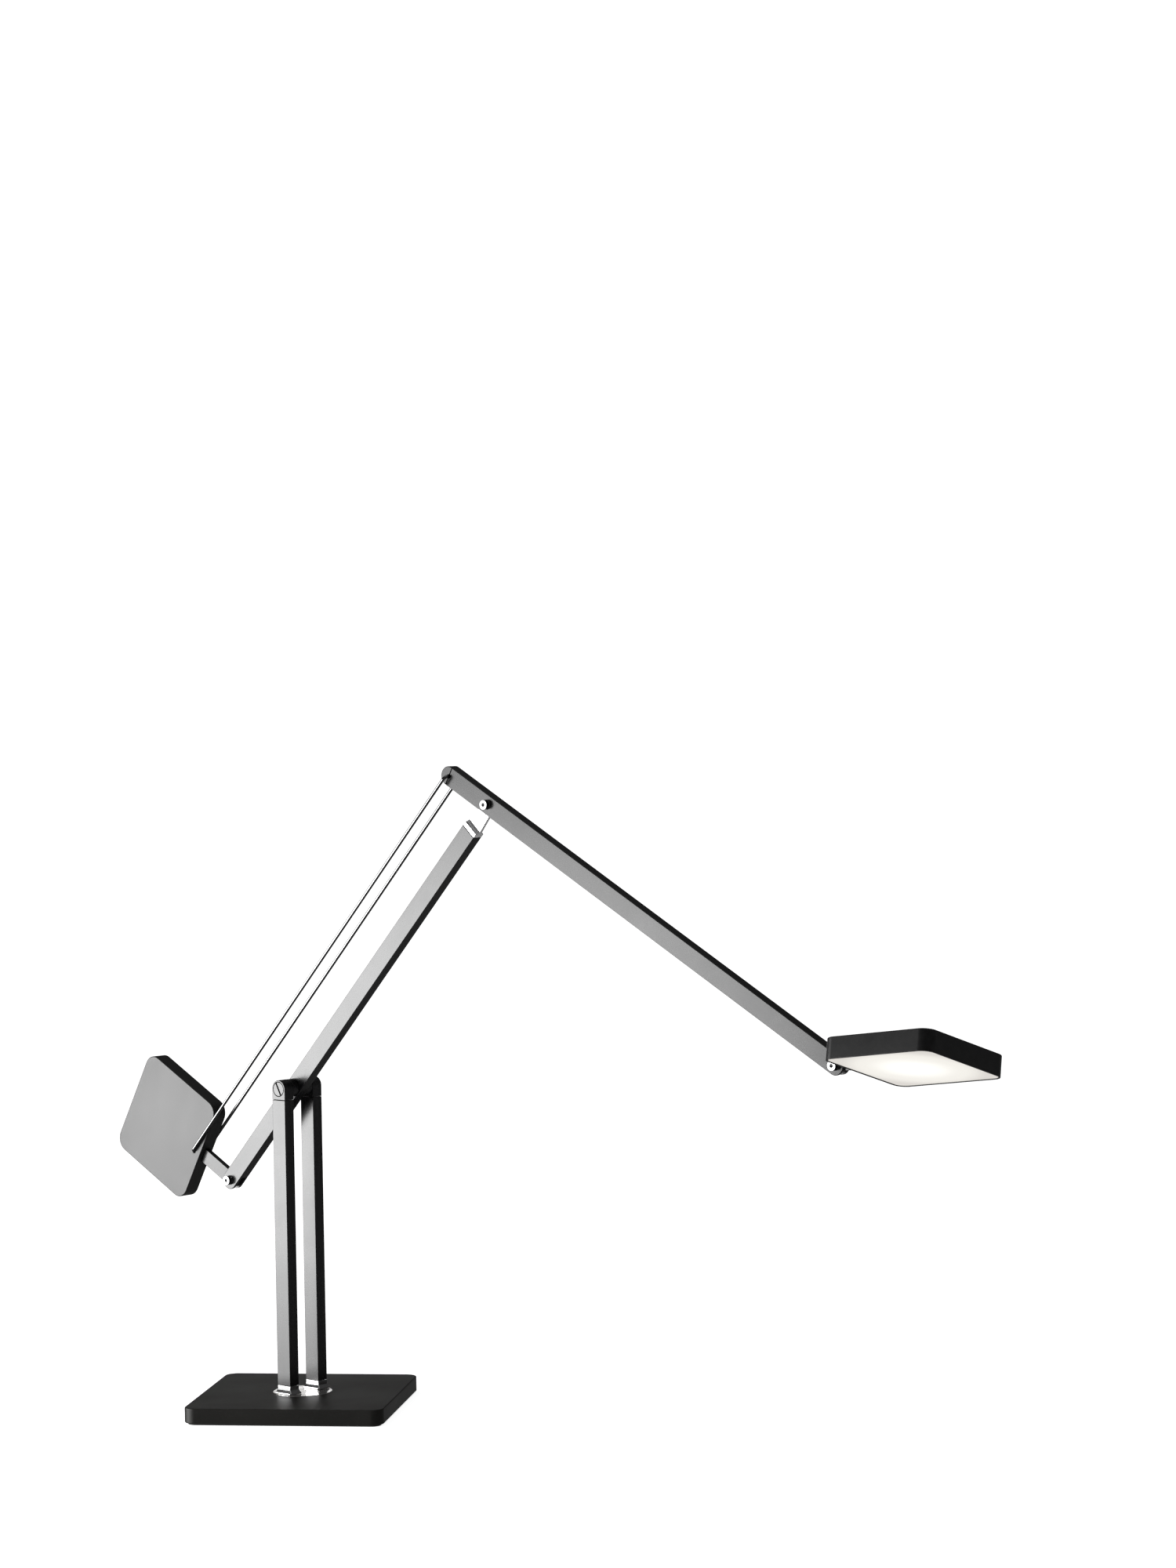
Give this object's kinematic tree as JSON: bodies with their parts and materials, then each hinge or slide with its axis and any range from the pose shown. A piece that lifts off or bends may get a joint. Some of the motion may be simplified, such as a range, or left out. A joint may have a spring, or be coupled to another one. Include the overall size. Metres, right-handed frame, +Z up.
{
  "type": "desk lamp",
  "caption": "Counterbalanced desk lamp: square steel base, twin posts on a turntable, lower and upper arm with tie rods, plate counterweight, square LED head that tilts and rolls",
  "frame": {"origin": "centre of the base's underside, on the surface the lamp stands on", "axes": "+Z up; the arms lie in the XZ plane and reach towards +X; every arm hinge turns about Y; the square base is turned 33 degrees about Z under them"},
  "size_m": [0.9618, 0.2378, 0.5749],
  "materials": {
    "black_anodised": "satin black anodised aluminium",
    "black_coated_steel": "fine satin black powder coat on steel",
    "polished_steel": "polished bright steel",
    "plain_steel": "plain machined steel",
    "bronze": "plain bearing bronze",
    "bare_aluminium": "bare rolled aluminium",
    "opal_diffuser": "opal acrylic, satin, lit warm white",
    "circuit_board": "white solder mask",
    "white_plastic": "matt white plastic",
    "black_plastic": "black moulded plastic",
    "pad_rubber": "matt black rubber"
  },
  "bodies": {
    "base": {"base_plate": "black_coated_steel", "foot_pad": "pad_rubber", "swivel_bush": "bronze", "power_inlet": "black_plastic"},
    "turntable": {"turntable_disc": "polished_steel", "swivel_shaft": "plain_steel", "swivel_nut": "plain_steel", "near_post_foot": "polished_steel", "far_post_foot": "polished_steel", "near_post": "black_anodised", "far_post": "black_anodised", "near_post_cap": "black_anodised", "far_post_cap": "black_anodised", "foot_screw_1": "plain_steel", "foot_screw_2": "plain_steel", "foot_screw_3": "plain_steel", "foot_screw_4": "plain_steel", "pivot_axle": "plain_steel", "near_axle_screw": "black_anodised", "far_axle_screw": "black_anodised", "near_spacer": "black_anodised", "far_spacer": "black_anodised"},
    "lower_arm": {"lower_arm_tube": "black_anodised", "arm_bush": "bronze", "elbow_bracket": "polished_steel", "counterweight_pivot_screw": "polished_steel", "counterweight_pivot_nut": "polished_steel"},
    "upper_arm": {"upper_arm_tube": "black_anodised", "rear_end_cap": "black_anodised", "elbow_screw": "polished_steel", "elbow_nut": "polished_steel", "elbow_washer_1": "white_plastic", "elbow_washer_2": "white_plastic", "head_pivot_screw": "polished_steel", "head_pivot_nut": "polished_steel"},
    "counterweight": {"counterweight_plate": "black_coated_steel", "counterweight_stub": "black_anodised", "stub_screw_1": "plain_steel", "stub_screw_2": "plain_steel"},
    "tie_rods": {"near_tie_rod": "polished_steel", "far_tie_rod": "polished_steel"},
    "head_neck": {"head_neck": "black_anodised", "neck_clip": "plain_steel"},
    "head": {"head_shell": "black_anodised", "swivel_block": "plain_steel", "diffuser": "opal_diffuser", "light_box": "white_plastic", "led_board": "circuit_board", "heat_spreader": "bare_aluminium", "board_screw_1": "plain_steel", "board_screw_2": "plain_steel", "board_screw_3": "plain_steel", "board_screw_4": "plain_steel"}
  },
  "joints": [
    {"name": "turntable_swivel", "type": "hinge", "parent": "base", "child": "turntable", "pos_m": [0, 0, 0.015], "axis": [0, 0, 1], "range_deg": [-165, 165]},
    {"name": "lower_arm_hinge", "type": "hinge", "parent": "turntable", "child": "lower_arm", "pos_m": [0, 0, 0.288], "axis": [0, -1, 0], "range_deg": [-12, 41]},
    {"name": "elbow_hinge", "type": "hinge", "parent": "lower_arm", "child": "upper_arm", "pos_m": [0.23969, 0, 0.54236], "axis": [0, -1, 0], "range_deg": [-19, 33]},
    {"name": "counterweight_hinge", "type": "hinge", "parent": "lower_arm", "child": "counterweight", "pos_m": [-0.08367, 0, 0.19921], "axis": [0, -1, 0], "range_deg": [-20, 34]},
    {"name": "tie_rod_hinge", "type": "hinge", "parent": "upper_arm", "child": "tie_rods", "pos_m": [0.19649, 0, 0.56631], "axis": [0, -1, 0], "range_deg": [-34, 20]},
    {"name": "head_tilt", "type": "hinge", "parent": "upper_arm", "child": "head_neck", "pos_m": [0.60703, 0, 0.33874], "axis": [0, -1, 0], "range_deg": [-40, 60]},
    {"name": "head_roll", "type": "hinge", "parent": "head_neck", "child": "head", "pos_m": [0.68098, 0, 0.34782], "axis": [0.9925, 0, 0.1219], "range_deg": [-28, 62]}
  ],
  "couplings": [
    {"joint": "counterweight_hinge", "follows": "elbow_hinge", "ratio": 1},
    {"joint": "tie_rod_hinge", "follows": "elbow_hinge", "ratio": -1}
  ]
}
